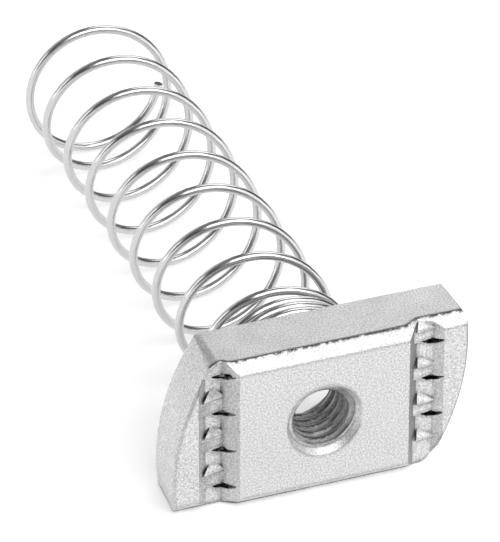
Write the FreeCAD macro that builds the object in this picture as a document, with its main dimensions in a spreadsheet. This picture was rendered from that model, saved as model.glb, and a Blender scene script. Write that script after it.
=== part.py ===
# Strut spring nut: a stamped and tapped channel nut with a long coil spring behind it.
#
# Frame, in millimetres: the nut lies on one long side, as it would on a bench.
# +X runs along the nut's length, +Z is up, and the toothed face looks towards -Y.
# The origin is on the axis of the threaded hole, midway through the nut's thickness.
# The nut's own sketches measure how deep a place is from the toothed face.

import FreeCAD
import Part
import Sketcher
import math
import os

os.makedirs("parts", exist_ok=True)
doc = FreeCAD.newDocument("strut_spring_nut")

# Driving dimensions

sizes = doc.addObject("Spreadsheet::Sheet", "sizes")
DRIVING = [
    # the nut's plate
    ("nut_length", 35.4),
    ("nut_width", 19.2),
    ("nut_thickness", 8.0),
    ("end_radius", 28.5),
    ("end_crown", 6.0),
    ("end_draft", 0.5),
    ("end_edge", 0.3),
    ("leading_corner", 0.6),
    ("trailing_corner", 2.3),
    ("rolled_edge", 1.25),
    ("leading_dip", 1.0),
    ("trailing_dip", 0.3),
    # the two grooves that take the channel's lips, measured out from the middle
    ("land_drop", 0.95),
    ("groove_start", 10.15),
    ("groove_wall", 1.6),
    ("groove_floor", 1.85),
    ("groove_slope", 1.1),
    ("groove_depth", 2.0),
    ("groove_rise", 0.25),
    # the teeth raised across each groove
    ("tooth_pitch", 4.9),
    ("tooth_count", 4),
    ("tooth_first", 9.35),
    ("tooth_stagger", 1.1),
    ("tooth_ramp", 1.0),
    ("tooth_crest", 1.45),
    ("tooth_height", 0.8),
    ("pit_length", 2.7),
    ("pit_width", 0.75),
    ("pit_depth", 0.6),
    # the threaded hole
    ("bore_radius", 3.4),
    ("countersink_front", 1.1),
    ("countersink_back", 0.8),
    # the nubs that hold the spring's end turn on the back
    ("nub_height", 1.5),
    ("nub_base", 1.1),
    ("nub_crown", 0.6),
    ("nub_spread", 22.0),
    ("nub_count", 4),
    # the spring
    ("wire_diameter", 1.06),
    ("wire_sides", 6),
    ("coil_diameter", 18.1),
    ("dead_turns", 3.75),
    ("dead_pitch", 1.2),
    ("open_turns", 8.2),
    ("open_pitch", 7.86),
    ("end_turns", 0.7),
    ("end_pitch", 1.1),
    ("easing_turns", 0.45),
    ("end_angle", 350.0),
    # running clearances
    ("seat_gap", 0.03),
    ("nub_gap", 0.06),
]
# The spring's round wire is drawn with a few flats, to keep the model's facets few.
# Its corners stand out enough for the same area of section as the round wire.
DERIVED = [
    ("wire_corner", "=wire_diameter / 2 * sqrt(2 * pi / (wire_sides * sin(360 deg / wire_sides)))"),
]
for row, (name, value) in enumerate(DRIVING + DERIVED, start=1):
    sizes.set(f"A{row}", name)
    sizes.set(f"B{row}", str(value))
    sizes.setAlias(f"B{row}", name)
doc.recompute()


def size(name):
    """The value of one driving dimension."""
    return float(sizes.get(name))


# Helpers for sketches

def origin_plane(body, role):
    """One of the body's own origin planes or axes, such as XZ_Plane or Y_Axis."""
    return next(item for item in body.Origin.OriginFeatures if item.Role == role)


def new_sketch(body, name, plane, out=None, across=None, up=None):
    """A sketch on an origin plane, moved out of it or within it by expressions."""
    sketch = body.newObject("Sketcher::SketchObject", name)
    sketch.AttachmentSupport = [(origin_plane(body, plane), "")]
    sketch.MapMode = "FlatFace"
    for axis, formula in (("x", across), ("y", up), ("z", out)):
        if formula:
            sketch.setExpression(f"AttachmentOffset.Base.{axis}", formula)
    return sketch


def place_point(sketch, name, element, end, across, up):
    """Pins one end of a line or arc at a place given by two expressions."""
    for kind, axis, formula in (("DistanceX", "x", across), ("DistanceY", "y", up)):
        index = sketch.addConstraint(
            Sketcher.Constraint(kind, -1, 1, element, end, sketch.evalExpression(formula)))
        sketch.renameConstraint(index, f"{name}_{axis}")
        sketch.setExpression(f"Constraints.{name}_{axis}", formula)


def outline(sketch, corners):
    """A closed outline of straight lines; each corner is a pair of expressions."""
    points = [FreeCAD.Vector(sketch.evalExpression(x), sketch.evalExpression(y), 0) for x, y in corners]
    first = sketch.GeometryCount
    last = first + len(points) - 1
    for start, end in zip(points, points[1:] + points[:1]):
        sketch.addGeometry(Part.LineSegment(start, end))
    for line in range(first, last + 1):
        following = first if line == last else line + 1
        sketch.addConstraint(Sketcher.Constraint("Coincident", line, 2, following, 1))
    for line, (x, y) in enumerate(corners, start=first):
        place_point(sketch, f"corner{line}", line, 1, x, y)


def half_lens(sketch, half_length, width):
    """A straight line with a shallow arc hanging under it."""
    reach = sketch.evalExpression(half_length)
    sag = sketch.evalExpression(width)
    ends = FreeCAD.Vector(-reach, 0, 0), FreeCAD.Vector(reach, 0, 0)
    base = sketch.addGeometry(Part.LineSegment(*ends))
    bow = sketch.addGeometry(Part.Arc(ends[0], FreeCAD.Vector(0, -sag, 0), ends[1]))
    sketch.addConstraint(Sketcher.Constraint("Coincident", base, 1, bow, 1))
    sketch.addConstraint(Sketcher.Constraint("Coincident", base, 2, bow, 2))
    place_point(sketch, "left", base, 1, f"-({half_length})", "0")
    place_point(sketch, "right", base, 2, half_length, "0")
    radius = f"(({half_length}) ^ 2 + ({width}) ^ 2) / (2 * ({width}))"
    index = sketch.addConstraint(Sketcher.Constraint("Radius", bow, sketch.evalExpression(radius)))
    sketch.renameConstraint(index, "bow_radius")
    sketch.setExpression("Constraints.bow_radius", radius)


# The nut's body

nut = doc.addObject("PartDesign::Body", "channel_nut")
nut.Label = "channel_nut"
nut.setExpression("Placement.Base.y", "-sizes.nut_thickness / 2")


def plate():
    """A flat bar up to its outer lands, a little longer than the nut."""
    sketch = new_sketch(nut, "bar_outline", "XZ_Plane", "-sizes.land_drop")
    end = "(sizes.nut_length / 2 + 0.5)"
    side = "sizes.nut_width / 2"
    outline(sketch, [(f"-{end}", f"-{side}"), (end, f"-{side}"), (end, side), (f"-{end}", side)])
    pad = nut.newObject("PartDesign::Pad", "bar")
    pad.Profile = sketch
    pad.Reversed = True
    pad.setExpression("Length", "sizes.nut_thickness - sizes.land_drop")
    doc.recompute()


def raised_middle():
    """The middle of the plate stands forward of the outer lands, to the toothed face."""
    sketch = new_sketch(nut, "middle_outline", "XZ_Plane")
    side = "(sizes.groove_start + sizes.groove_wall)"
    edge = "sizes.nut_width / 2"
    outline(sketch, [(f"-{side}", f"-{edge}"), (side, f"-{edge}"), (side, edge), (f"-{side}", edge)])
    pad = nut.newObject("PartDesign::Pad", "raised_middle")
    pad.Profile = sketch
    pad.Reversed = True
    pad.setExpression("Length", "sizes.nut_thickness")
    doc.recompute()


# The front profile, from the middle of the nut outwards: where it is, and how deep
FLOOR_START = "(sizes.groove_start + sizes.groove_wall)"
FLOOR_END = "(sizes.groove_start + sizes.groove_wall + sizes.groove_floor)"
LAND_START = "(sizes.groove_start + sizes.groove_wall + sizes.groove_floor + sizes.groove_slope)"
GROOVE_SECTION = [
    ("sizes.groove_start", "0"),
    (FLOOR_START, "sizes.groove_depth"),
    (FLOOR_END, "sizes.groove_depth - sizes.groove_rise"),
    (LAND_START, "sizes.land_drop"),
]
CLEAR_FRONT = "-2"      # a level well in front of the toothed face


def mirrored(corners):
    """The same corners on the other side of the hole, in reverse order."""
    return [(f"-{across}", deep) for across, deep in reversed(corners)]


def grooves():
    """Both grooves, cut right through from one long side to the other."""
    sketch = new_sketch(nut, "groove_section", "XY_Plane")
    front = [(LAND_START, CLEAR_FRONT), ("sizes.groove_start", CLEAR_FRONT)]
    outline(sketch, GROOVE_SECTION + front)
    outline(sketch, mirrored(GROOVE_SECTION + front))
    cut = nut.newObject("PartDesign::Pocket", "grooves")
    cut.Profile = sketch
    cut.Midplane = True
    cut.setExpression("Length", "sizes.nut_width + 2")
    doc.recompute()


def tooth_side(name, at, foot, crest, height, ramp):
    """The side view of a tooth, on a plane across the nut, with its foot at the top."""
    sketch = new_sketch(nut, name, "YZ_Plane", at)
    head = f"({foot} - sizes.tooth_ramp)"
    lip = f"({head} - {crest})"
    floor = "sizes.groove_depth"
    root = "sizes.groove_depth + 0.5"
    outline(sketch, [
        (root, f"{head} + {ramp}"),
        (floor, f"{head} + {ramp}"),
        (f"{floor} - {height}", head),
        (f"{floor} - {height}", lip),
        (root, lip),
    ])
    return sketch


def tooth(name, side, foot, crest="sizes.tooth_crest"):
    """One tooth, high on its left and fading into the floor on its right."""
    high_end = {"left": f"-({FLOOR_END} + 0.7 * sizes.groove_slope)",
                "right": "sizes.groove_start + 0.4 * sizes.groove_wall"}
    low_end = {"left": f"-({FLOOR_START} - 0.4 * sizes.groove_wall)",
               "right": f"{FLOOR_END} + 0.5 * sizes.groove_slope"}
    high = tooth_side(f"{name}_high", high_end[side], foot, crest, "sizes.tooth_height", "sizes.tooth_ramp")
    low = tooth_side(f"{name}_low", low_end[side], foot, crest, "0.15 * sizes.tooth_height",
                     "0.1 * sizes.tooth_ramp")
    loft = nut.newObject("PartDesign::AdditiveLoft", name)
    loft.Profile = high
    loft.Sections = [low]
    loft.Ruled = True
    doc.recompute()
    return loft


def teeth():
    """Four rasp teeth in each groove.

    Each one ramps up from the floor, runs level and ends in a lip over a small pit.
    The last one on the right runs on to the nut's side, with no lip and no pit.
    """
    valley = {"left": f"-{FLOOR_START}", "right": f"({FLOOR_END} - 0.2)"}
    first = {"left": "(sizes.tooth_first + sizes.tooth_stagger)", "right": "sizes.tooth_first"}
    whole_ones = {"left": "sizes.tooth_count", "right": "(sizes.tooth_count - 1)"}
    for side in ("left", "right"):
        raised = tooth(f"{side}_tooth", side, first[side])
        lens = new_sketch(nut, f"{side}_pit_outline", "XZ_Plane", across=valley[side],
                          up=f"({first[side]} - sizes.tooth_ramp - sizes.tooth_crest)")
        half_lens(lens, "sizes.pit_length / 2", "sizes.pit_width")
        pit = nut.newObject("PartDesign::Pocket", f"{side}_pit")
        pit.Profile = lens
        pit.setExpression("Length", "sizes.groove_depth + sizes.pit_depth")
        doc.recompute()
        row = nut.newObject("PartDesign::LinearPattern", f"{side}_teeth")
        row.Originals = [raised, pit]
        row.Direction = (lens, ["V_Axis"])
        row.Reversed = True
        row.setExpression("Length", f"sizes.tooth_pitch * ({whole_ones[side]} - 1)")
        row.setExpression("Occurrences", whole_ones[side])
        nut.Tip = row
        doc.recompute()
    last_foot = f"({first['right']} - sizes.tooth_pitch * {whole_ones['right']})"
    nut.Tip = tooth("last_tooth", "right", last_foot, "(2 * sizes.tooth_crest + 1)")
    doc.recompute()


def trimmed_sides():
    """What the coining pushed past the long sides is cut off square."""
    sketch = new_sketch(nut, "trim_outline", "XZ_Plane")
    edge = "sizes.nut_width / 2"
    past = "(sizes.nut_width / 2 + 3)"
    for sign in ("", "-"):
        outline(sketch, [("-sizes.nut_length / 2", sign + edge), ("sizes.nut_length / 2", sign + edge),
                         ("sizes.nut_length / 2", sign + past), ("-sizes.nut_length / 2", sign + past)])
    cut = nut.newObject("PartDesign::Pocket", "side_trim")
    cut.Profile = sketch
    cut.Midplane = True
    cut.setExpression("Length", "4 * sizes.nut_thickness")
    doc.recompute()


def dipped_edges():
    """The rolled edge of the long sides dips a little where it passes each groove.

    It dips more beside the leading corner, which is on the right of the upper side.
    """
    past_end = "(sizes.nut_length / 2 + 1)"

    def dipped(how_deep):
        return [("sizes.groove_start", "0"), (FLOOR_START, how_deep), (FLOOR_END, how_deep),
                (LAND_START, "sizes.land_drop"), (past_end, "sizes.land_drop"), (past_end, CLEAR_FRONT)]

    leading, trailing = dipped("sizes.leading_dip"), dipped("sizes.trailing_dip")
    for name, sign, left, right in (("upper", 1, trailing, leading), ("lower", -1, leading, trailing)):
        start = f"{sign} * (sizes.nut_width / 2 - sizes.rolled_edge)"
        sketch = new_sketch(nut, f"{name}_edge_section", "XY_Plane", start)
        outline(sketch, mirrored(left) + right)
        cut = nut.newObject("PartDesign::Pocket", f"{name}_rolled_edge")
        cut.Profile = sketch
        cut.UseCustomVector = True
        cut.Direction = FreeCAD.Vector(0, 1, sign)
        cut.AlongSketchNormal = False
        cut.setExpression("Length", "2 * sizes.rolled_edge")
        doc.recompute()


def cropped_ends():
    """Each end is cut to one arc from corner to corner, with its front edge broken.

    The arc stands out furthest near the leading corner and falls back to the trailing
    one, so that the nut can be turned a quarter turn inside the channel. Each of the
    three cuts turns a section about the middle of its own arc, and the long arc leans
    in towards the back.
    """
    middle = "(sizes.nut_length / 2 - sizes.end_radius)"
    leading = "(sizes.end_radius - sizes.leading_corner)"
    trailing = "(sizes.end_radius - sizes.trailing_corner)"
    rise = "(sizes.nut_width / 2 - sizes.leading_corner - sizes.end_crown)"
    fall = "(sizes.nut_width / 2 - sizes.trailing_corner + sizes.end_crown)"
    lead_across = f"{middle} + sqrt({leading} ^ 2 - {rise} ^ 2)"
    trail_across = f"{middle} + sqrt({trailing} ^ 2 - {fall} ^ 2)"

    def beside(radius, lean="0"):
        """All that lies outside a wall and its broken edge: how far out, and how deep."""
        clear = f"({radius} + 8)"
        return [(f"({radius} - {lean})", "sizes.nut_thickness + 1"),
                (radius, "sizes.land_drop + sizes.end_edge"),
                (f"({radius} - sizes.end_edge)", "sizes.land_drop"),
                (f"({radius} - sizes.end_edge)", CLEAR_FRONT), (clear, CLEAR_FRONT),
                (clear, "sizes.nut_thickness + 1")]

    end = new_sketch(nut, "end_section", "XY_Plane", "sizes.end_crown", middle)
    outline(end, beside("sizes.end_radius", "sizes.end_draft"))
    lead = new_sketch(nut, "leading_section", "YZ_Plane", lead_across,
                      up="sizes.nut_width / 2 - sizes.leading_corner")
    outline(lead, [(deep, out) for out, deep in beside("sizes.leading_corner")])
    trail = new_sketch(nut, "trailing_section", "YZ_Plane", trail_across,
                       up="sizes.trailing_corner - sizes.nut_width / 2")
    outline(trail, [(deep, f"-{out}") for out, deep in beside("sizes.trailing_corner")])
    cuts = [
        ("leading_corner", lead, "H_Axis", f"90 deg - asin({rise} / {leading})", False),
        ("trailing_corner", trail, "H_Axis", f"90 deg - asin({fall} / {trailing})", True),
        ("end_arc", end, "V_Axis", "2 * asin((sizes.nut_width / 2 + sizes.end_crown) / sizes.end_radius)", False),
    ]
    for name, sketch, axis, angle, reverse in cuts:
        cut = nut.newObject("PartDesign::Groove", name)
        cut.Profile = sketch
        cut.ReferenceAxis = (sketch, [axis])
        cut.Reversed = reverse
        cut.Midplane = name == "end_arc"
        cut.setExpression("Angle", angle)
        doc.recompute()
    both = nut.newObject("PartDesign::PolarPattern", "both_ends")
    both.Originals = [doc.getObject(name) for name, *rest in cuts]
    both.Axis = (origin_plane(nut, "Y_Axis"), [""])
    both.Angle = 360
    both.Occurrences = 2
    nut.Tip = both
    doc.recompute()


def threaded_hole():
    """The bore at the thread's inner diameter, countersunk on both faces."""
    sketch = new_sketch(nut, "hole_section", "XY_Plane")
    bore = "sizes.bore_radius"
    front = "sizes.countersink_front"
    back = "sizes.countersink_back"
    outline(sketch, [
        ("0", "-1"),
        (f"{bore} + {front} + 1", "-1"),
        (bore, front),
        (bore, f"sizes.nut_thickness - {back}"),
        (f"{bore} + {back} + 1", "sizes.nut_thickness + 1"),
        ("0", "sizes.nut_thickness + 1"),
    ])
    hole = nut.newObject("PartDesign::Groove", "threaded_hole")
    hole.Profile = sketch
    hole.ReferenceAxis = (sketch, ["V_Axis"])
    hole.Angle = 360
    doc.recompute()


def spring_nubs():
    """Raised nubs on the back that hold the spring's end turn from inside."""
    sketch = new_sketch(nut, "nub_section", "XY_Plane")
    outer = "(sizes.coil_diameter / 2 - sizes.wire_diameter / 2 - sizes.wire_corner - sizes.nub_gap)"
    back = "sizes.nut_thickness"
    outline(sketch, [
        (outer, f"{back} - 0.4"),
        (outer, f"{back} + sizes.nub_height"),
        (f"{outer} - sizes.nub_crown", f"{back} + sizes.nub_height"),
        (f"{outer} - sizes.nub_base", back),
        (f"{outer} - sizes.nub_base", f"{back} - 0.4"),
    ])
    nub = nut.newObject("PartDesign::Revolution", "nub")
    nub.Profile = sketch
    nub.ReferenceAxis = (sketch, ["V_Axis"])
    nub.Midplane = True
    nub.setExpression("Angle", "sizes.nub_spread")
    doc.recompute()
    ring = nut.newObject("PartDesign::PolarPattern", "nub_ring")
    ring.Originals = [nub]
    ring.Axis = (sketch, ["V_Axis"])
    ring.Angle = 360
    ring.setExpression("Occurrences", "sizes.nub_count")
    nut.Tip = ring
    doc.recompute()


plate()
raised_middle()
grooves()
teeth()
trimmed_sides()
dipped_edges()
cropped_ends()
threaded_hole()
spring_nubs()

# The spring


def spring_rise(turn):
    """How far the wire has come along the spring after some turns.

    A smooth step eases the pitch from the dead turns to the open ones and back, and
    what it has added up to by a given turn is its integral.
    """
    half = size("easing_turns") / 2

    def carried(place):
        share = min(max((turn - place + half) / (2 * half), 0), 1)
        return 2 * half * (share ** 3 - share ** 4 / 2) + max(turn - place - half, 0)

    opening = (size("open_pitch") - size("dead_pitch")) * carried(size("dead_turns"))
    closing = (size("end_pitch") - size("open_pitch")) * carried(size("dead_turns") + size("open_turns"))
    return size("dead_pitch") * turn + opening + closing


def spring_line(steps=8):
    """The middle line of the wire, left hand wound, as one smooth curve cut at each turn."""
    turns = size("dead_turns") + size("open_turns") + size("end_turns")
    radius = (size("coil_diameter") - size("wire_diameter")) / 2
    seat = size("nut_thickness") / 2 + size("seat_gap") + size("wire_diameter") / 2
    count = math.ceil(turns * steps)
    points = []
    for number in range(count + 1):
        turn = turns * number / count
        angle = math.radians(size("end_angle")) + 2 * math.pi * (turn - turns)
        points.append(FreeCAD.Vector(radius * math.cos(angle), seat + spring_rise(turn),
                                     radius * math.sin(angle)))
    curve = Part.BSplineCurve()
    curve.interpolate(points)
    cuts = curve.getKnots()[:-steps // 2:steps] + [curve.LastParameter]
    return curve, Part.Wire([curve.toShape(start, end) for start, end in zip(cuts, cuts[1:])])


def coil_spring():
    """The wire, swept along its line."""
    curve, path = spring_line()
    line = doc.addObject("Part::Feature", "spring_line")
    line.Shape = path
    wire = doc.addObject("Part::RegularPolygon", "wire_section")
    wire.setExpression("Polygon", "sizes.wire_sides")
    wire.setExpression("Circumradius", "sizes.wire_corner")
    # one corner points away from the spring's axis, so one flat faces the nut's back
    start = curve.value(curve.FirstParameter)
    heading = curve.tangent(curve.FirstParameter)[0]
    outwards = FreeCAD.Vector(start.x, 0, start.z)
    wire.Placement = FreeCAD.Placement(start, FreeCAD.Rotation(outwards, heading.cross(outwards), heading, "ZXY"))
    doc.recompute()
    coil = doc.addObject("Part::Sweep", "spring")
    coil.Label = "spring"
    coil.Sections = [wire]
    coil.Spine = (line, [f"Edge{number}" for number in range(1, len(path.Edges) + 1)])
    coil.Solid = True
    coil.Frenet = True
    doc.recompute()
    return coil


spring = coil_spring()

# Checks and files

for item in doc.Objects:
    if {"Invalid", "Error"} & set(item.State):
        raise RuntimeError(f"{item.Label} did not build: {item.State}")
for node in (nut, spring):
    shape = node.Shape
    if shape.isNull() or not shape.isValid() or len(shape.Solids) != 1:
        raise RuntimeError(f"{node.Label} is not one valid solid")
    shape.exportStep(f"parts/{node.Label}.step")
    box = shape.BoundBox
    print(f"{node.Label}: {shape.Volume:.1f} mm3, {len(shape.Faces)} faces,",
          f"x {box.XMin:.2f} {box.XMax:.2f}, y {box.YMin:.2f} {box.YMax:.2f}, z {box.ZMin:.2f} {box.ZMax:.2f}")
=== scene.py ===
# %% [markdown]
# # A strut spring nut in bright zinc plate
#
# The real object is a stamped steel nut with a long coil spring behind it. The packed
# CAD model gives both pieces in the right place, so this file adds what the eye wants
# from a step away: the screw thread in the hole, a truly round wire, the torn metal of
# the teeth, softened edges, a plated finish, and a studio like the photograph's.

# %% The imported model
import math
import random

import bmesh
import bpy
from mathutils import Matrix, Vector


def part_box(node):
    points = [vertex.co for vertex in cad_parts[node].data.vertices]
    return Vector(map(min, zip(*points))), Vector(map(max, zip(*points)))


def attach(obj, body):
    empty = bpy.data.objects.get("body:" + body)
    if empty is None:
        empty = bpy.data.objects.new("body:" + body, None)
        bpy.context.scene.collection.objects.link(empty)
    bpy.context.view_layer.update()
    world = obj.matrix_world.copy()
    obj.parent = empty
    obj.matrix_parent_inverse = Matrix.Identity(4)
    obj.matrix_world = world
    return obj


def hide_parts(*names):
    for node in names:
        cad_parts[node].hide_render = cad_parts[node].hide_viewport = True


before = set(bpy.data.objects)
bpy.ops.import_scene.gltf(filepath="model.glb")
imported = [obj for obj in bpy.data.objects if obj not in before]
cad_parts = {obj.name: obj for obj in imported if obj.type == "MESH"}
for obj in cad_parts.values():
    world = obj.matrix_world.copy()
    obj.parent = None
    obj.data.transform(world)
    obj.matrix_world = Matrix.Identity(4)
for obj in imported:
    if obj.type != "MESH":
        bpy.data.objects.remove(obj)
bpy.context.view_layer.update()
MM = 0.001

print("nodes:", sorted(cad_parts))
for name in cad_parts:
    low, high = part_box(name)
    print(name, "spans", [round(side / MM, 2) for side in high - low], "mm")

# %% [markdown]
# ## Helpers for objects
#
# Every mesh, lamp and camera here becomes an object in the same way, and every modifier
# is kept as plain mesh. Two short functions do that.

# %% Objects, and meshes that keep what their modifiers made
def new_object(name, data):
    """An object in the scene that shows a mesh, a lamp or a camera."""
    thing = bpy.data.objects.new(name, data)
    bpy.context.scene.collection.objects.link(thing)
    return thing


def settle(piece):
    """Keeps the result of a piece's modifiers as its own mesh, and removes them."""
    bpy.context.view_layer.update()
    evaluated = piece.evaluated_get(bpy.context.evaluated_depsgraph_get())
    result = bpy.data.meshes.new_from_object(evaluated)
    piece.modifiers.clear()
    piece.data = result
    print(piece.name, "now has", len(result.polygons), "faces")


# %% [markdown]
# ## Helpers for Geometry Nodes
#
# Both the wire and the thread follow a formula, and a formula is what Geometry Nodes
# do well. A tree is built in three steps: name its inputs, wire up the arithmetic, and
# end in Realize Instances and Set Material. The two helpers keep that arithmetic short:
# `calc` adds one Math node, and `join` makes a vector from three numbers.

# %% A tree with named inputs
def new_tree(name, sizes):
    """A geometry tree with one named number input for each size, and its input node."""
    tree = bpy.data.node_groups.new(name, "GeometryNodeTree")
    tree.interface.new_socket("Geometry", in_out="OUTPUT", socket_type="NodeSocketGeometry")
    for label, value in sizes.items():
        kind = "NodeSocketInt" if isinstance(value, int) else "NodeSocketFloat"
        socket = tree.interface.new_socket(label, in_out="INPUT", socket_type=kind)
        socket.default_value = value
    tree.interface.new_socket("Finish", in_out="INPUT", socket_type="NodeSocketMaterial")
    return tree, tree.nodes.new("NodeGroupInput")


def feed(tree, sockets, values):
    """Gives each socket its value, which is a number or another node's output."""
    for socket, value in zip(sockets, values):
        if isinstance(value, (int, float)):
            socket.default_value = value
        else:
            tree.links.new(value, socket)


def calc(tree, operation, *values):
    """One Math node."""
    node = tree.nodes.new("ShaderNodeMath")
    node.operation = operation
    feed(tree, node.inputs, values)
    return node.outputs[0]


def join(tree, x, y, z):
    """A vector made of three numbers."""
    node = tree.nodes.new("ShaderNodeCombineXYZ")
    feed(tree, node.inputs, (x, y, z))
    return node.outputs[0]


def split(tree, vector):
    """The three numbers of a vector."""
    node = tree.nodes.new("ShaderNodeSeparateXYZ")
    tree.links.new(vector, node.inputs[0])
    return node.outputs["X"], node.outputs["Y"], node.outputs["Z"]


# %% Ending a tree, and turning it into a plain mesh
def end_tree(tree, inputs, geometry):
    """Closes a tree: instances made real, and the finish set."""
    real = tree.nodes.new("GeometryNodeRealizeInstances")
    finish = tree.nodes.new("GeometryNodeSetMaterial")
    out = tree.nodes.new("NodeGroupOutput")
    tree.links.new(geometry, real.inputs["Geometry"])
    tree.links.new(real.outputs[0], finish.inputs["Geometry"])
    tree.links.new(inputs.outputs["Finish"], finish.inputs["Material"])
    tree.links.new(finish.outputs[0], out.inputs[0])


def plain_mesh(tree, name, sizes, finish):
    """Runs a tree once with these sizes and keeps the result as an ordinary mesh object."""
    piece = new_object(name, bpy.data.meshes.new(name))
    modifier = piece.modifiers.new("Formula", "NODES")
    modifier.node_group = tree
    for item in tree.interface.items_tree:
        if item.in_out == "INPUT":
            modifier[item.identifier] = finish if item.name == "Finish" else sizes[item.name]
    settle(piece)
    return piece


# %% [markdown]
# ## Bright zinc plate
#
# Plated steel is a metal, so nearly all of its look is reflection. A flat grey would
# look like paint: the plating has a fine grain of crystals that scatter the light, some
# a little brighter than others. Noise in Object coordinates drives the grain's colour
# and a very small bump, and a slower noise drives the roughness.

# %% Noise in Object coordinates
NOISE_MIDDLE = (0.3, 0.7)  # nearly all of a noise lies between these two


def noise(tree, size, detail):
    """A noise with spots about `size` wide that is fixed to the object."""
    place = tree.nodes.new("ShaderNodeTexCoord")
    node = tree.nodes.new("ShaderNodeTexNoise")
    node.inputs["Scale"].default_value = 1 / size
    node.inputs["Detail"].default_value = detail
    tree.links.new(place.outputs["Object"], node.inputs["Vector"])
    return node.outputs[0]


def ramp(tree, value, span, result=(0, 1)):
    """Stretches one span of a value to another, and stays level outside it."""
    node = tree.nodes.new("ShaderNodeMapRange")
    labels = ("From Min", "From Max", "To Min", "To Max")
    for label, number in zip(labels, (*span, *result)):
        node.inputs[label].default_value = number
    tree.links.new(value, node.inputs["Value"])
    return node.outputs[0]


# %% The finish of the pressed nut and of the drawn wire
CLOUD_SIZE = 2.5 * MM
BUMP_HEIGHT = 0.02 * MM


def zinc(name, colour, speckle, roughness, spread, grain_size, grain_depth):
    """Bright zinc; `speckle` and `spread` say how far colour and roughness wander."""
    material = bpy.data.materials.new(name)
    material.use_nodes = True
    tree = material.node_tree
    shader = tree.nodes["Principled BSDF"]
    shader.inputs["Metallic"].default_value = 1

    cloud = noise(tree, CLOUD_SIZE, detail=4)
    rough = ramp(tree, cloud, NOISE_MIDDLE, (roughness - spread, roughness + spread))
    tree.links.new(rough, shader.inputs["Roughness"])

    grain = noise(tree, grain_size, detail=3)
    tone = ramp(tree, grain, NOISE_MIDDLE, (colour - speckle, colour + speckle))
    tree.links.new(tone, shader.inputs["Base Color"])

    bump = tree.nodes.new("ShaderNodeBump")
    bump.inputs["Strength"].default_value = grain_depth
    bump.inputs["Distance"].default_value = BUMP_HEIGHT
    tree.links.new(grain, bump.inputs["Height"])
    tree.links.new(bump.outputs[0], shader.inputs["Normal"])
    return material


nut_finish = zinc("zinc_pressed", colour=0.65, speckle=0.22, roughness=0.5, spread=0.05,
                  grain_size=0.2 * MM, grain_depth=1.0)
wire_finish = zinc("zinc_drawn", colour=0.62, speckle=0.08, roughness=0.18, spread=0.05,
                   grain_size=0.12 * MM, grain_depth=0.2)
print("finishes:", nut_finish.name, wire_finish.name)

# %% [markdown]
# ## Painted shade
#
# Shade is painted into the colour of the pressed nut where it would fall: in inner
# corners and in the thread. The walls of the grooves are painted darker than the flats
# by the way they face, most of all the ones that face +X in the right groove. A ragged
# line of painted shade follows each border of the rolled edge. Each mark is a share
# from 0 to 1 that takes colour away.

# %% Taking colour away by a share
# How strongly each mark of painted shade darkens the colour
STRENGTH = {"corner": 0.7, "thread": 0.4, "wall": 0.15, "shade on walls facing +X": 0.4,
            "side border shade": 0.95, "face border shade": 0.35}


def between(tree, value, low, high, soft):
    """1 where a value lies between two marks, falling to 0 over a soft border."""
    return calc(tree, "MINIMUM", ramp(tree, value, (low - soft, low)),
                ramp(tree, value, (high + soft, high)))


def darken(material, mark, share):
    """Paints shade by taking a share of the colour away, at the mark's full strength where it
    is 1.
    """
    tree = material.node_tree
    socket = tree.nodes["Principled BSDF"].inputs["Base Color"]
    kept = calc(tree, "SUBTRACT", 1, calc(tree, "MULTIPLY", share, STRENGTH[mark]))
    tree.links.new(calc(tree, "MULTIPLY", socket.links[0].from_socket, kept), socket)


# %% Painted shade in inner corners and in the thread
CORNER_REACH = 0.9 * MM
CORNER_GAIN = 1.3
THREAD_REACH = 4.03 * MM
FLAT_FACE = 0.93  # a normal that points forward more than this is on the face
RAY_SAMPLES = 8


def paint_corner_shade(material, wobble):
    """Painted shade in inner corners, where little of the surroundings can be seen."""
    tree = material.node_tree
    corner = tree.nodes.new("ShaderNodeAmbientOcclusion")
    corner.samples = RAY_SAMPLES
    corner.inputs["Distance"].default_value = CORNER_REACH
    hidden = calc(tree, "SUBTRACT", 1, corner.outputs["AO"])
    hidden = calc(tree, "MULTIPLY", calc(tree, "MULTIPLY", hidden, wobble), CORNER_GAIN)
    darken(material, "corner", calc(tree, "MINIMUM", hidden, 1))


def paint_thread_shade(material, radius, front):
    """Painted shade on all that lies near the hole's axis and isn't the face."""
    tree = material.node_tree
    near = calc(tree, "LESS_THAN", radius, THREAD_REACH)
    slanted = calc(tree, "LESS_THAN", front, FLAT_FACE)
    darken(material, "thread", calc(tree, "MULTIPLY", near, slanted))


# %% Painted shade on the walls of the grooves
HOLE_CLEAR = 5 * MM
FORWARD = (0.25, 0.35)   # from here on a normal looks forward
SIDEWAYS = (0.35, 0.45)  # from here on it looks to the side


def paint_wall_shade(material, x, radius, nx, front):
    """Painted shade on slopes outside the hole: first the walls facing +X in the right half,
    then all of them.
    """
    tree = material.node_tree
    steep = calc(tree, "MULTIPLY", calc(tree, "GREATER_THAN", radius, HOLE_CLEAR),
                 ramp(tree, front, FORWARD))
    # Painted shade, strongest on the steep walls facing +X in the right half
    steep_on_right = calc(tree, "MULTIPLY", steep, calc(tree, "GREATER_THAN", x, 0))
    darken(material, "shade on walls facing +X", calc(tree, "MULTIPLY", ramp(tree, nx, SIDEWAYS), steep_on_right))
    side = calc(tree, "ABSOLUTE", nx)
    darken(material, "wall", calc(tree, "MULTIPLY", ramp(tree, side, SIDEWAYS), steep))


# %% Painted shade along the borders of the rolled edge
BORDER_REACH = 0.75 * MM
SIDE_BORDER_LINE = {"low": 0.12, "high": 0.58, "soft": 0.06}  # how far forward a border up there looks
FACE_BORDER_LINE = {"low": 0.15, "high": 0.45, "soft": 0.05}   # how far up a border on the face looks
ON_TOP = 0.75
ON_FACE = 0.85


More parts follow.
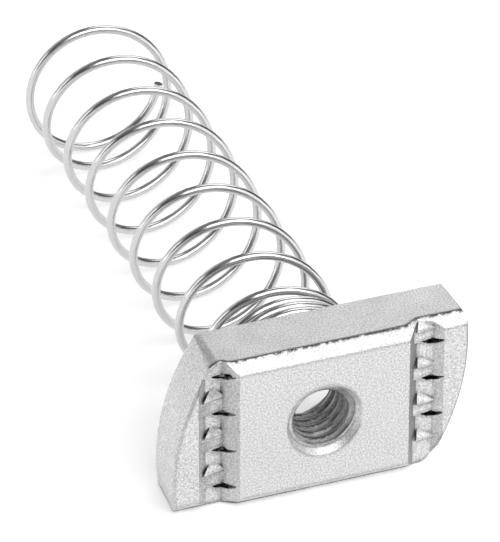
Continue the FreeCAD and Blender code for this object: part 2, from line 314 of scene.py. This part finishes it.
def paint_border_shade(material, wobble):
    """Painted shade along the borders of the rolled edge. The Bevel node turns the normal near
    an edge, and a turned normal is a border.
    """
    tree = material.node_tree
    rounded = tree.nodes.new("ShaderNodeBevel")
    rounded.samples = RAY_SAMPLES
    rounded.inputs["Radius"].default_value = BORDER_REACH
    turned = tree.nodes.new("ShaderNodeVectorTransform")
    turned.vector_type = "NORMAL"
    turned.convert_from, turned.convert_to = "WORLD", "OBJECT"
    tree.links.new(rounded.outputs[0], turned.inputs[0])
    _, y, z = split(tree, turned.outputs[0])
    ahead, rise = calc(tree, "MULTIPLY", y, -1), calc(tree, "ABSOLUTE", z)

    # A ragged line of painted shade where the rolled edge meets the top or the bottom
    side_line = between(tree, calc(tree, "MULTIPLY", ahead, wobble), **SIDE_BORDER_LINE)
    on_top = calc(tree, "GREATER_THAN", rise, ON_TOP)
    darken(material, "side border shade", calc(tree, "MULTIPLY", side_line, on_top))
    # A fainter line of painted shade where the rolled edge meets the face
    face_line = between(tree, calc(tree, "MULTIPLY", rise, wobble), **FACE_BORDER_LINE)
    on_face = calc(tree, "GREATER_THAN", ahead, ON_FACE)
    darken(material, "face border shade", calc(tree, "MULTIPLY", face_line, on_face))


# %% All the painted shade on the nut
WOBBLE_SIZE = 0.8 * MM
WOBBLE = (0.4, 1.6)  # a ragged mark is its own size times this


def paint_shade_marks(material):
    """Paints each mark of shade into a finish, by the surface's place and direction on the nut.
    """
    tree = material.node_tree
    surface = tree.nodes.new("ShaderNodeTexCoord")
    x, _, z = split(tree, surface.outputs["Object"])
    nx, ny, _ = split(tree, surface.outputs["Normal"])
    front = calc(tree, "MULTIPLY", ny, -1)
    squares = calc(tree, "ADD", calc(tree, "MULTIPLY", x, x), calc(tree, "MULTIPLY", z, z))
    radius = calc(tree, "SQRT", squares)
    wobble = ramp(tree, noise(tree, WOBBLE_SIZE, detail=3), NOISE_MIDDLE, WOBBLE)

    paint_corner_shade(material, wobble)
    paint_thread_shade(material, radius, front)
    paint_wall_shade(material, x, radius, nx, front)
    paint_border_shade(material, wobble)


# Shade is painted into the nut's finish here
paint_shade_marks(nut_finish)
print("nodes in the nut's finish:", len(nut_finish.node_tree.nodes))

# %% [markdown]
# ## The spring
#
# One wire, wound left hand: a few closed turns at the nut, open turns, and one closed
# end. A screw modifier can't change its pitch on the way, so the wire's middle line is
# a row of points moved on to a coil. The pitch eases from closed to open with the
# smooth step 3s² - 2s³. Its sum over the turns is s³ - s⁴/2, which is what the tree
# works out, so that the height of any point needs no loop.

# %% The spring's sizes
SPRING = {
    "Turns": 12.65,
    "Steps": 48,
    "Wire radius": 0.53 * MM,
    "Coil radius": 8.52 * MM,
    "Start": 4.56 * MM,
    "End angle": math.radians(350),
    "Closed turns": 3.75,
    "Closed pitch": 1.2 * MM,
    "Open turns": 8.2,
    "Open pitch": 7.86 * MM,
    "End pitch": 1.1 * MM,
    "Easing": 0.225,
}
WIRE_SIDES = 16


def eased_rise(tree, turn, start, half):
    """How far a pitch that eases in around `start` has carried on by `turn`."""
    past = calc(tree, "SUBTRACT", turn, start)
    share = calc(tree, "DIVIDE", calc(tree, "ADD", past, half), calc(tree, "MULTIPLY", half, 2))
    share = calc(tree, "MINIMUM", calc(tree, "MAXIMUM", share, 0), 1)
    cube = calc(tree, "POWER", share, 3)
    fourth = calc(tree, "MULTIPLY", cube, share)
    bend = calc(tree, "SUBTRACT", cube, calc(tree, "MULTIPLY", fourth, 0.5))
    inside = calc(tree, "MULTIPLY", bend, calc(tree, "MULTIPLY", half, 2))
    after = calc(tree, "MAXIMUM", calc(tree, "SUBTRACT", past, half), 0)
    return calc(tree, "ADD", inside, after)


# %% The wire's tree
def coil_height(tree, size, turn):
    """How far along the spring's axis the wire is after some turns."""
    opening = calc(tree, "SUBTRACT", size["Open pitch"], size["Closed pitch"])
    closing = calc(tree, "SUBTRACT", size["End pitch"], size["Open pitch"])
    first = size["Closed turns"]
    last = calc(tree, "ADD", first, size["Open turns"])
    rise = calc(tree, "MULTIPLY", size["Closed pitch"], turn)
    opened = calc(tree, "MULTIPLY", opening, eased_rise(tree, turn, first, size["Easing"]))
    closed = calc(tree, "MULTIPLY", closing, eased_rise(tree, turn, last, size["Easing"]))
    return calc(tree, "ADD", calc(tree, "ADD", rise, opened),
                calc(tree, "ADD", closed, size["Start"]))


def wire_tree():
    """Points in a row, moved on to the coil's line and given a round section."""
    tree, inputs = new_tree("spring_wire", SPRING)
    size = inputs.outputs
    count = calc(tree, "CEIL", calc(tree, "MULTIPLY", size["Turns"], size["Steps"]))
    row = tree.nodes.new("GeometryNodeMeshLine")
    tree.links.new(calc(tree, "ADD", count, 1), row.inputs["Count"])

    index = tree.nodes.new("GeometryNodeInputIndex").outputs[0]
    turn = calc(tree, "MULTIPLY", calc(tree, "DIVIDE", index, count), size["Turns"])
    back = calc(tree, "MULTIPLY", calc(tree, "SUBTRACT", turn, size["Turns"]), 2 * math.pi)
    angle = calc(tree, "ADD", back, size["End angle"])
    across = calc(tree, "MULTIPLY", size["Coil radius"], calc(tree, "COSINE", angle))
    up = calc(tree, "MULTIPLY", size["Coil radius"], calc(tree, "SINE", angle))

    move = tree.nodes.new("GeometryNodeSetPosition")
    tree.links.new(row.outputs[0], move.inputs["Geometry"])
    coil = join(tree, across, coil_height(tree, size, turn), up)
    tree.links.new(coil, move.inputs["Position"])
    line = tree.nodes.new("GeometryNodeMeshToCurve")
    tree.links.new(move.outputs[0], line.inputs["Mesh"])

    section = tree.nodes.new("GeometryNodeCurvePrimitiveCircle")
    section.inputs["Resolution"].default_value = WIRE_SIDES
    tree.links.new(size["Wire radius"], section.inputs["Radius"])
    tube = tree.nodes.new("GeometryNodeCurveToMesh")
    tube.inputs["Fill Caps"].default_value = True
    tree.links.new(line.outputs[0], tube.inputs["Curve"])
    tree.links.new(section.outputs[0], tube.inputs["Profile Curve"])
    end_tree(tree, inputs, tube.outputs[0])
    return tree


wire = plain_mesh(wire_tree(), "spring_wire", SPRING, wire_finish)
print("wire spans", [round(side / MM, 2) for side in wire.dimensions], "mm")

# %% [markdown]
# A cut end of wire has a crisp rim, and the tube is smooth all round. Marking edges
# sharp by angle gives both at once, where smooth shading alone would round off the cap.

# %% Smooth where round, sharp where cut
def shade(piece, degrees):
    """Smooth shading that keeps every edge sharper than the angle."""
    for face in piece.data.polygons:
        face.use_smooth = True
    piece.data.set_sharp_from_angle(angle=math.radians(degrees))


def outward(piece):
    """Merged points and faces that point outwards."""
    work = bmesh.new()
    work.from_mesh(piece.data)
    bmesh.ops.remove_doubles(work, verts=work.verts, dist=0.0005 * MM)
    bmesh.ops.recalc_face_normals(work, faces=work.faces)
    work.to_mesh(piece.data)
    open_edges = sum(not edge.is_manifold for edge in work.edges)
    work.free()
    print(piece.name, "open edges:", open_edges)


outward(wire)
shade(wire, 40)

# %% [markdown]
# ## The thread
#
# A metric M8 thread, 1.25 mm from turn to turn. It could be faked with a bump, but the
# photograph looks straight into the hole, so the thread is cut for real. The cutter is
# a grid rolled round the hole's axis. Each pitch has four levels of points, two at the
# cutter's inner radius and two at the root, and every level climbs one pitch on its way
# round, so the last point of a level meets the first point of the next turn's. The
# first and last level lie on the axis and close the ends.

# %% The thread's sizes
THREAD = {
    "Turns": 10,
    "Around": 72,
    "Pitch": 1.25 * MM,
    "Inner radius": 3.25 * MM,
    "Root radius": 4.0 * MM,
    "Root flat": 0.156 * MM,
    "Start": -6.4 * MM,
}
FLANK = math.radians(30)


def thread_tree():
    """A grid rolled into a right hand screw with 60 degrees between its flanks."""
    tree, inputs = new_tree("thread_cutter", THREAD)
    size = inputs.outputs
    levels = calc(tree, "MULTIPLY", size["Turns"], 4)
    grid = tree.nodes.new("GeometryNodeMeshGrid")
    grid.inputs["Size X"].default_value = 1
    grid.inputs["Size Y"].default_value = 1
    tree.links.new(calc(tree, "ADD", size["Around"], 1), grid.inputs["Vertices X"])
    tree.links.new(calc(tree, "ADD", levels, 1), grid.inputs["Vertices Y"])

    place = tree.nodes.new("GeometryNodeInputPosition")
    grid_x, grid_y, _ = split(tree, place.outputs[0])
    turned = calc(tree, "ADD", grid_x, 0.5)
    angle = calc(tree, "MULTIPLY", turned, 2 * math.pi)
    level = calc(tree, "ROUND", calc(tree, "MULTIPLY", calc(tree, "ADD", grid_y, 0.5), levels))

    whole = calc(tree, "FLOOR", calc(tree, "DIVIDE", level, 4))
    step = calc(tree, "SUBTRACT", level, calc(tree, "MULTIPLY", whole, 4))
    first = calc(tree, "MINIMUM", step, 1)
    second = calc(tree, "MINIMUM", calc(tree, "MAXIMUM", calc(tree, "SUBTRACT", step, 1), 0), 1)
    third = calc(tree, "MAXIMUM", calc(tree, "SUBTRACT", step, 2), 0)

    depth = calc(tree, "SUBTRACT", size["Root radius"], size["Inner radius"])
    flank = calc(tree, "MULTIPLY", depth, math.tan(FLANK))
    along = calc(tree, "MULTIPLY", flank, calc(tree, "ADD", first, third))
    along = calc(tree, "ADD", along, calc(tree, "MULTIPLY", size["Root flat"], second))
    climb = calc(tree, "MULTIPLY", calc(tree, "ADD", whole, turned), size["Pitch"])
    height = calc(tree, "ADD", calc(tree, "ADD", along, climb), size["Start"])

    radius = calc(tree, "MULTIPLY", depth, calc(tree, "SUBTRACT", first, third))
    radius = calc(tree, "ADD", radius, size["Inner radius"])
    inside = calc(tree, "MULTIPLY", calc(tree, "GREATER_THAN", level, 0.5),
                  calc(tree, "LESS_THAN", level, calc(tree, "SUBTRACT", levels, 0.5)))
    radius = calc(tree, "MULTIPLY", radius, inside)

    move = tree.nodes.new("GeometryNodeSetPosition")
    tree.links.new(grid.outputs["Mesh"], move.inputs["Geometry"])
    x = calc(tree, "MULTIPLY", radius, calc(tree, "SINE", angle))
    z = calc(tree, "MULTIPLY", radius, calc(tree, "COSINE", angle))
    tree.links.new(join(tree, x, height, z), move.inputs["Position"])
    end_tree(tree, inputs, move.outputs[0])
    return tree


cutter = plain_mesh(thread_tree(), "thread_cutter", THREAD, nut_finish)

# %% Closing the cutter
def close_holes(piece):
    """Merges the seam, fills the two flat openings that are left and turns faces out."""
    work = bmesh.new()
    work.from_mesh(piece.data)
    bmesh.ops.remove_doubles(work, verts=work.verts, dist=0.002 * MM)
    bmesh.ops.dissolve_degenerate(work, dist=0.001 * MM, edges=work.edges)
    rims = [edge for edge in work.edges if edge.is_boundary]
    bmesh.ops.holes_fill(work, edges=rims, sides=0)
    bmesh.ops.triangulate(work, faces=work.faces)
    bmesh.ops.recalc_face_normals(work, faces=work.faces)
    work.to_mesh(piece.data)
    open_edges = sum(not edge.is_manifold for edge in work.edges)
    print(piece.name, "had", len(rims), "rim edges, volume",
          round(work.calc_volume() / MM ** 3, 1), "mm3, open edges:", open_edges)
    work.free()


close_holes(cutter)

# %% [markdown]
# The thread's first turn needs a lead-in, so a cone opens the front of the hole from the
# root of the thread to a little over it. The cone starts just ahead of the face, which
# keeps the cut clean.

# %% The chamfer at the front of the hole
CHAMFER = {"Outer radius": 4.6 * MM, "Depth": 0.8 * MM, "Clear": 0.05 * MM, "Face": -4 * MM}


def finished_object(work, name, finish):
    """Turns worked geometry into an object with one finish."""
    mesh = bpy.data.meshes.new(name)
    work.to_mesh(mesh)
    work.free()
    mesh.materials.append(finish)
    return new_object(name, mesh)


def chamfer_cutter():
    """A cone that opens the front of the hole down to the root of the thread."""
    work = bmesh.new()
    bmesh.ops.create_cone(work, cap_ends=True, segments=96, radius1=CHAMFER["Outer radius"],
                          radius2=THREAD["Root radius"],
                          depth=CHAMFER["Depth"] + CHAMFER["Clear"])
    lying = Matrix.Rotation(math.radians(-90), 3, "X")
    bmesh.ops.rotate(work, verts=work.verts, matrix=lying)
    middle = CHAMFER["Face"] + (CHAMFER["Depth"] - CHAMFER["Clear"]) / 2
    bmesh.ops.translate(work, verts=work.verts, vec=(0, middle, 0))
    return finished_object(work, "chamfer_cutter", nut_finish)


chamfer = chamfer_cutter()
print("chamfer cutter spans", [round(side / MM, 2) for side in chamfer.dimensions], "mm")

# %% [markdown]
# ## The torn metal of the teeth
#
# The CAD teeth rise evenly, and their pits are clean. On the real nut the punch has
# thrown up a chip at the start of each tooth, a steep three-cornered facet that catches
# the light, and left a crumb of metal in each pit. Both are small pyramids sunk into the
# groove. No two are alike, so a seeded random hand moves each of their corners.

# %% Where the teeth are, in millimetres
TOOTH_PITCH = 4.9
HIGHEST = 9.4  # no corner is set higher up on the nut than this
CHIP_JITTER, CRUMB_JITTER, LIP_JITTER = 0.08, 0.15, 0.18
ROWS = {
    "right": {"chip heads": (8.35, 4), "pits": (6.9, 3), "pit middle": 13.4,
              "chip": ((12.0, -1.9, 1.35), (14.0, -2.4, 0.0),
                       (11.5, -2.95, 0.15), (12.6, -1.7, -1.3))},
    "left": {"chip heads": (4.55, 3), "pits": (8.0, 4), "pit middle": -11.75,
             "chip": ((-12.8, -1.95, 1.75), (-11.3, -2.3, 0.4),
                      (-14.0, -3.0, 0.5), (-12.6, -1.75, -0.9))},
}
CRUMB = ((-0.8, -1.5, -0.5), (0.6, -1.6, -0.55), (0.0, -2.55, -0.1), (0.1, -1.5, 0.6))
rough_hand = random.Random(7)


def heights(row, label):
    """The height of each tooth or pit in a row, from the top down."""
    first, count = row[label]
    return [first - TOOTH_PITCH * number for number in range(count)]


def add_pyramid(work, corners, across, up, jitter):
    """A pyramid on four corners, each moved a little at random."""
    a, b, c, d = [
        work.verts.new([(value + rough_hand.uniform(-jitter, jitter)) * MM
                        for value in (x + across, y, min(z + up, HIGHEST))])
        for x, y, z in corners]
    for triangle in ((a, b, c), (b, d, c), (a, c, d), (a, d, b)):
        work.faces.new(triangle)


# %% The chips and the crumbs
work = bmesh.new()
for row in ROWS.values():
    for up in heights(row, "chip heads"):
        add_pyramid(work, row["chip"], 0, up, CHIP_JITTER)
for row in ROWS.values():
    for up in heights(row, "pits"):
        across = row["pit middle"] + rough_hand.uniform(-0.1, 0.7)
        add_pyramid(work, CRUMB, across, up, CRUMB_JITTER)
bmesh.ops.recalc_face_normals(work, faces=work.faces)
print("chips and crumbs:", len(work.faces) // 4)
chips = finished_object(work, "ramp_chips", nut_finish)

# %% [markdown]
# ## The nut
#
# The nut's shape is the CAD model's. Its mesh comes as loose triangles, so a copy is
# merged first. Then the chips are joined to it, and the chamfer and the thread are cut.

# %% A merged copy with the chips on it and the thread in it
nut = new_object("tapped_nut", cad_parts["channel_nut"].data.copy())
nut.data.materials.clear()
nut.data.materials.append(nut_finish)
outward(nut)

for tool, operation in ((chips, "UNION"), (chamfer, "DIFFERENCE"), (cutter, "DIFFERENCE")):
    step = nut.modifiers.new(tool.name, "BOOLEAN")
    step.operation = operation
    step.solver = "EXACT"
    step.object = tool
settle(nut)
for tool in (chips, chamfer, cutter):
    bpy.data.objects.remove(tool)
outward(nut)

# %% [markdown]
# Flat faces come back in one piece, so that only real edges are left. The edges round
# each pit are cut in three, and the new points pushed about, which tears the lips.

# %% Flat faces in one piece, and torn lips
work = bmesh.new()
work.from_mesh(nut.data)
bmesh.ops.dissolve_limit(work, angle_limit=math.radians(0.6), verts=work.verts,
                         edges=work.edges)


LIP = {"length": 0.5 * MM, "across": 1.8 * MM, "up": 0.7 * MM, "behind": -1.2 * MM}


def on_lip(edge, across, up):
    """True for an edge round one pit that is long enough to be torn."""
    return edge.calc_length() > LIP["length"] and all(
        abs(end.co.x - across * MM) < LIP["across"] and abs(end.co.z - up * MM) < LIP["up"]
        and end.co.y < LIP["behind"] for end in edge.verts)


torn = 0
for row in ROWS.values():
    for up in heights(row, "pits"):
        lips = [edge for edge in work.edges if on_lip(edge, row["pit middle"], up)]
        made = bmesh.ops.subdivide_edges(work, edges=lips, cuts=2)
        for item in made["geom_inner"]:
            if isinstance(item, bmesh.types.BMVert):
                item.co += Vector([rough_hand.uniform(-LIP_JITTER, LIP_JITTER) * MM
                                   for axis in range(3)])
                torn += 1
print("torn points on the lips:", torn)
work.to_mesh(nut.data)
work.free()

# %% [markdown]
# A narrow bevel breaks every edge. Without it no edge would catch the light, which is
# what makes a render of metal look like plastic. Plain smooth shading would then bend
# the light across the whole of each flat face. Weighted normals let the big flat face
# decide, so the curve stays in the narrow strip where it really is.

# %% Broken edges between flat faces
broken = nut.modifiers.new("Broken edges", "BEVEL")
broken.width = 0.09 * MM
broken.segments = 2
broken.limit_method = "ANGLE"
broken.angle_limit = math.radians(28)
broken.use_clamp_overlap = True
settle(nut)
shade(nut, 24)

weighted = nut.modifiers.new("Flat faces", "WEIGHTED_NORMAL")
weighted.mode = "FACE_AREA"
weighted.weight = 100
weighted.keep_sharp = True
settle(nut)
print("the nut has its own normals:", nut.data.has_custom_normals)

# %% Standing in for the CAD nodes
for piece, node, slot in ((nut, "channel_nut", "plated_nut"), (wire, "spring", "spring_wire")):
    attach(piece, "root")
    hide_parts(node)

# %% [markdown]
# ## The studio
#
# The photograph is a cut-out on white. The floor's own colour is nearly white, and a
# faint glow that only the camera and reflections see takes it the rest of the way, so
# that the metal is lit at a plain level and the floor keeps the object's shadow.

# %% Floor
FLOOR_HALF = 3.0  # metres
FLOOR_COLOUR = 0.9
FLOOR_GLOW = 0.35
floor_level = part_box("channel_nut")[0].z
floor_corners = [(x * FLOOR_HALF, y * FLOOR_HALF, floor_level)
                 for x, y in ((-1, -1), (1, -1), (1, 1), (-1, 1))]
floor_mesh = bpy.data.meshes.new("studio_floor")
floor_mesh.from_pydata(floor_corners, [], [(0, 1, 2, 3)])
floor = new_object("studio_floor", floor_mesh)


def seen_white(tree):
    """1 for rays that come from the camera, a reflection or a clear body, and 0 for others."""
    path = tree.nodes.new("ShaderNodeLightPath")
    either = calc(tree, "MAXIMUM", path.outputs["Is Camera Ray"], path.outputs["Is Glossy Ray"])
    return calc(tree, "MAXIMUM", either, path.outputs["Is Transmission Ray"])


paper = bpy.data.materials.new("paper_floor")
paper.use_nodes = True
paper_tree = paper.node_tree
paper_shader = paper_tree.nodes["Principled BSDF"]
paper_shader.inputs["Base Color"].default_value = (FLOOR_COLOUR, FLOOR_COLOUR, FLOOR_COLOUR, 1)
paper_shader.inputs["Roughness"].default_value = 0.9
paper_shader.inputs["Emission Color"].default_value = (1, 1, 1, 1)
glow = calc(paper_tree, "MULTIPLY", seen_white(paper_tree), FLOOR_GLOW)
paper_tree.links.new(glow, paper_shader.inputs["Emission Strength"])
floor.data.materials.append(paper)
print("floor at", round(floor_level / MM, 2), "mm")

# %% [markdown]
# Metal shows what stands round it, and in a white room it would be white all over. The
# world is bright low down and dark above that, like a small studio with its lights off,
# so that the wire gets its dark lines and the lamps stand out in the plating.

# %% World
WALLS = [(0.0, 0.8), (0.06, 0.8), (0.16, 0.1), (0.7, 0.1), (1.0, 0.3)]  # height, grey
world = bpy.data.worlds.new("studio")
bpy.context.scene.world = world
world.use_nodes = True
sky_tree = world.node_tree
sky = sky_tree.nodes["Background"]
heading = sky_tree.nodes.new("ShaderNodeTexCoord")
_, _, sky_height = split(sky_tree, heading.outputs["Generated"])
room = sky_tree.nodes.new("ShaderNodeValToRGB")
while len(room.color_ramp.elements) < len(WALLS):
    room.color_ramp.elements.new(0.5)
for stop, (place, grey) in zip(room.color_ramp.elements, WALLS):
    stop.position = place
    stop.color = (grey, grey, grey, 1)
sky_tree.links.new(sky_height, room.inputs[0])
sky_tree.links.new(room.outputs[0], sky.inputs["Color"])
sky.inputs["Strength"].default_value = 1
print("stops in the world's ramp:", len(room.color_ramp.elements))

# %% Lamps: direction, distance and width in metres, power in watts
LAMPS = {
    "key_lamp": ((0.08, -0.60, 0.75), 0.6, 0.58, 2.7),
    "left_lamp": ((-0.93, 0.05, 0.30), 0.6, 0.36, 0.6),
    "fill_lamp": ((0.66, -0.60, 0.40), 0.6, 0.5, 1.0),
    "back_lamp": ((0.45, 0.60, 0.66), 0.6, 0.4, 0.9),
    "corner_lamp": ((-0.52, 0.80, 0.30), 0.5, 0.5, 0.45),
}
for name, (direction, distance, width, power) in LAMPS.items():
    lamp = bpy.data.lights.new(name, "AREA")
    lamp.size = width
    lamp.energy = power
    holder = new_object(name, lamp)
    away = Vector(direction).normalized()
    holder.location = away * distance
    holder.rotation_euler = away.to_track_quat("Z", "Y").to_euler()
print("lamps:", [light.name for light in bpy.data.lights])

# %% [markdown]
# ## The camera
#
# The photograph's own camera was fitted to the outline of the nut and the turns of the
# spring: a long lens, about 33 degrees above the floor and about 21 degrees round to the
# left, held level.

# %% Camera
photo_long_side = 542
focal_in_pixels = 5500
azimuth = math.radians(20.62)
elevation = math.radians(32.7)
distance = 614.8 * MM
aim = Vector((-4.75, 7.2, 14.25)) * MM

level_part = math.cos(elevation)
forward = Vector((math.sin(azimuth) * level_part, math.cos(azimuth) * level_part,
                  -math.sin(elevation)))
lens = bpy.data.cameras.new("photo_camera")
lens.sensor_fit = "AUTO"
lens.lens = focal_in_pixels * lens.sensor_width / photo_long_side
lens.clip_start, lens.clip_end = 0.01, 20
camera = new_object("photo_camera", lens)
camera.location = aim - forward * distance
camera.rotation_euler = forward.to_track_quat("-Z", "Y").to_euler()
bpy.context.scene.camera = camera
bpy.context.scene.view_settings.view_transform = "Standard"
print("lens", round(lens.lens, 1), "mm at", [round(value, 4) for value in camera.location])
